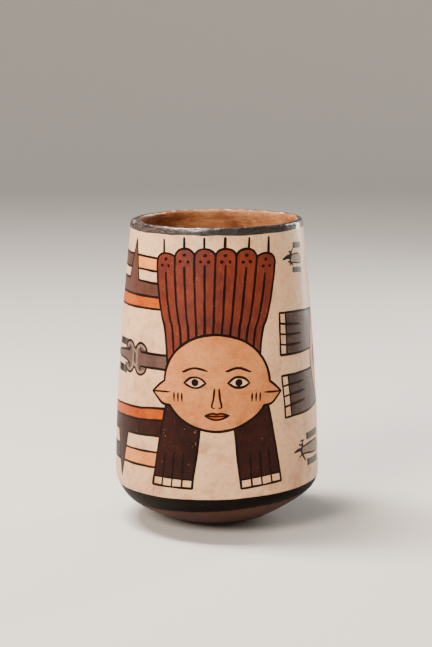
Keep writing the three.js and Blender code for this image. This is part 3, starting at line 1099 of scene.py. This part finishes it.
# Adds up noises or shares, each times its weight
def weightedSum(tree, *parts):
    total = 0.0
    for part, weight in parts:
        total = addNode(tree, "ShaderNodeMath", (part, weight, total), operation="MULTIPLY_ADD")
    return total


def makeSlip(look):
    look = {**usualSlip, **look}
    thick, colour, thin, beneath = [linearColour(code) for code in look["colours"].split()]
    material = bpy.data.materials.new(look["made"])
    material.use_nodes = True
    tree = material.node_tree
    tree.nodes.clear()
    f = finish
    noiseKind, sums = "ShaderNodeTexNoise", "ShaderNodeMath"

    place = addNode(tree, "ShaderNodeTexCoord").outputs["Object"]
    inMm = addNode(tree, "ShaderNodeMapping", {"Vector": place, "Scale": (1 / mm, 1 / mm, 1 / mm)})
    fine, long = [1 / (look["coarse"] * f[size]) for size in ("streakFine", "streakLong")]
    along = (fine, fine, long) if look["brushUp"] else (long, long, fine)
    onBrush = addNode(tree, "ShaderNodeMapping", {"Vector": inMm, "Scale": along})
    streak = addNode(tree, noiseKind, {"Vector": onBrush, "Scale": 1.0, "Detail": 4.0, "Roughness": 0.65,
                                       "Distortion": 0.7})
    cloud, patch, grain, lump, mottle, stain = [
        addNode(tree, noiseKind, {"Vector": inMm, "Scale": 1 / f[size], "Detail": detail, "Roughness": roughness})
        for size, detail, roughness in (("cloudSize", 3.0, 0.6), ("patchSize", 4.0, 0.6), ("grainSize", 3.0, 0.65),
                                        ("lumpSize", 2.0, 0.5), ("mottleSize", 5.0, 0.7), ("stainSize", 5.0, 0.65))]
    height = addNode(tree, "ShaderNodeSeparateXYZ", (inMm,)).outputs["Z"]

    # thick to thin: broad clouds and smaller patches, then the brush's own streaks
    depth = weightedSum(tree, (cloud, 0.6), (patch, 0.4))
    lift = weightedSum(tree, (streak, 0.55), (depth, 0.45))
    # each share follows a value between two of its heights
    pooled, dry, tint, warm, likely, stained, low, rough = [
        addNode(tree, "ShaderNodeMapRange", {"Value": value, "From Min": a, "From Max": b, "To Min": c, "To Max": d})
        for value, a, b, c, d in (
            (depth, 0.54, 0.36, 0.0, 0.9),
            (lift, 0.46, 0.64, 0.0, look["lift"]),
            (grain, 0.3, 0.7, 0.9, 1.08),                                  # sand grains tint it finely
            (mottle, 0.46, 0.68, 0.0, f["mottle"]),                        # and it is blotched a little warmer
            (patch, 0.45, 0.7, 0.1 * look["flecks"], 2.0 * look["flecks"]),       # specks gather in some patches
            (stain, 0.5, 0.72, 0.0, f["stain"]),                           # the brown of age, in clouds
            (height, f["footShadeAndStain"], f["footShadeAndStainFull"], 0.0, 0.7 * f["stain"]),  # and darker low on the wall: part age stain, part painted shade
            (lift, 0.35, 0.65, look["roughness"] - 0.06, look["roughness"] + 0.10))]   # hollows the pebble missed
    # the age stain in clouds plus the painted shade low on the wall
    brown = addNode(tree, sums, (stained, low), operation="ADD", use_clamp=True)

    # specks have popped off and show what is beneath
    cells = addNode(tree, "ShaderNodeTexVoronoi", {"Vector": inMm, "Scale": 1 / f["fleckSize"]})
    luck = addNode(tree, "ShaderNodeSeparateColor", (cells.outputs["Color"],))
    chosen = addNode(tree, sums, (luck, likely), operation="LESS_THAN")
    close = addNode(tree, sums, (cells.outputs["Distance"], f["fleckReach"]), operation="LESS_THAN")
    fleck = addNode(tree, sums, (chosen, close), operation="MULTIPLY")
    shown = addNode(tree, sums, (fleck, f["fleckShow"]), operation="MULTIPLY")

    # each layer of colour over the last
    # the last layer browns the stain clouds and puts painted shade low on the wall
    for share, over, blend in ((pooled, thick, "MIX"), (dry, thin, "MIX"), (1.0, tint, "MULTIPLY"),
                               (warm, linearColour(f["mottleColour"]), "MULTIPLY"), (shown, beneath, "MIX"),
                               (brown, linearColour(f["stainAndShadeColour"]), "MULTIPLY")):
        layer = addNode(tree, "ShaderNodeMix", {0: share, 6: colour, 7: over}, data_type="RGBA", blend_type=blend)
        colour = layer.outputs[2]

    # relief in mm: lumps, brush marks, sand, and the specks' pits
    relief = weightedSum(tree, (lump, look["lumps"]), (streak, f["streakRelief"]), (grain, look["grit"]),
                         (fleck, f["fleckDepth"]))
    normal = addNode(tree, "ShaderNodeBump", {"Height": relief, "Strength": 1.0, "Distance": mm})
    shader = addNode(tree, "ShaderNodeBsdfPrincipled", {"Base Color": colour, "Roughness": rough, "Normal": normal,
                                                        "Specular IOR Level": look["shine"]})
    addNode(tree, "ShaderNodeOutputMaterial", {"Surface": shader})
    return material


def makeCup():
    materials = [makeSlip(look) for look in slips.values()]
    paintCup()
    cup = wrapSheet(buildSheet(), materials)
    makeUneven(cup.data)
    print("cup:", len(cup.data.polygons), "triangles, %.1f s" % (time.time() - startTime))
    return cup


cup = makeCup()
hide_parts("cup")
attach(cup, "root")


# Floor, light and camera. The floor is a wide shallow dish, in metres.

stageSizes = {"centre": 0.5, "flat": 2.2, "rim": 3.4, "rimHeight": 1.0, "rimRings": 12, "sides": 96,
              "colours": ("#D8D4CE", "#D2CEC7"), "fibreScale": 400.0, "worldColour": "#E9EBEE",
              "worldStrength": 0.30}


def makeFloor():
    s = stageSizes
    sides = s["sides"]
    rings = [(s["centre"], 0.0), (s["flat"], 0.0)]
    for t in np.linspace(0, math.pi / 2, s["rimRings"] + 1)[1:]:
        rings.append((s["flat"] + (s["rim"] - s["flat"]) * math.sin(t), s["rimHeight"] * (1 - math.cos(t))))
    turns = [2 * math.pi * k / sides for k in range(sides)]
    verts = [(0, 0, 0)] + [(radius * math.cos(a), radius * math.sin(a), height) for radius, height in rings
                           for a in turns]
    around = [(k, (k + 1) % sides) for k in range(sides)]
    faces = [(0, 1 + k, 1 + n) for k, n in around]
    for ring in range(1, len(rings)):
        far = 1 + ring * sides
        faces += [(far - sides + k, far + k, far + n, far - sides + n) for k, n in around]
    mesh = bpy.data.meshes.new("floor")
    mesh.from_pydata(verts, [], faces)
    for polygon in mesh.polygons:
        polygon.use_smooth = True
    floor = bpy.data.objects.new("floor", mesh)
    bpy.context.scene.collection.objects.link(floor)
    paper = bpy.data.materials.new("matt studio paper")
    paper.use_nodes = True
    tree = paper.node_tree
    tree.nodes.clear()
    coords = addNode(tree, "ShaderNodeTexCoord").outputs["Object"]
    fibre = addNode(tree, "ShaderNodeTexNoise", {"Vector": coords, "Scale": s["fibreScale"], "Detail": 3.0})
    light, dark = [linearColour(code) for code in s["colours"]]
    tone = addNode(tree, "ShaderNodeMix", {0: fibre, 6: light, 7: dark}, data_type="RGBA")
    shader = addNode(tree, "ShaderNodeBsdfPrincipled", {"Base Color": tone.outputs[2], "Roughness": 0.85})
    addNode(tree, "ShaderNodeOutputMaterial", {"Surface": shader})
    mesh.materials.append(paper)


lights = {
    "key": {"at": (-1.35, -1.85, 1.55), "size": 1.0, "tall": 1.0, "power": 94.0, "colour": "#FFF0E0"},
    "edge": {"at": (0.78, 0.78, 0.40), "size": 0.12, "tall": 0.8, "power": 9.0, "colour": "#FFFAF4"},
    "top": {"at": (-0.42, 0.10, 1.25), "size": 0.28, "tall": 0.6, "power": 42.0, "colour": "#FFF4EC"},
}


def makeLights():
    aim = Vector((0, 0, cupSizes["Height"] * mm / 2))
    for name, look in lights.items():
        data = bpy.data.lights.new(name, "AREA")
        data.shape = "RECTANGLE"
        data.size = look["size"]
        data.size_y = look["tall"]
        data.energy = look["power"]
        data.color = linearColour(look["colour"])[:3]
        lamp = bpy.data.objects.new(name, data)
        lamp.location = look["at"]
        lamp.rotation_euler = (aim - lamp.location).to_track_quat("-Z", "Y").to_euler()
        lamp.visible_camera = False
        bpy.context.scene.collection.objects.link(lamp)
    world = bpy.data.worlds.new("studio")
    world.use_nodes = True
    background = world.node_tree.nodes["Background"]
    background.inputs[0].default_value = linearColour(stageSizes["worldColour"])
    background.inputs[1].default_value = stageSizes["worldStrength"]
    bpy.context.scene.world = world


# The photograph is 432 by 647; its lens was fitted to the cup's outline and rings
cameraSizes = {"distance": 955.0, "height": 282.0, "aside": -0.5, "tilt": 9.8, "focalPixels": 1632.0,
               "imageHeight": 647.0}


def makeCamera():
    c = cameraSizes
    data = bpy.data.cameras.new("camera")
    data.sensor_fit = "VERTICAL"
    data.sensor_height = 36.0
    data.lens = data.sensor_height * c["focalPixels"] / c["imageHeight"]
    data.clip_end = 20.0
    camera = bpy.data.objects.new("camera", data)
    camera.location = (c["aside"] * mm, -c["distance"] * mm, c["height"] * mm)
    camera.rotation_euler = (math.radians(90 - c["tilt"]), 0, 0)
    bpy.context.scene.collection.objects.link(camera)
    bpy.context.scene.camera = camera


makeFloor()
makeLights()
makeCamera()
print("stage set, %.1f s" % (time.time() - startTime))
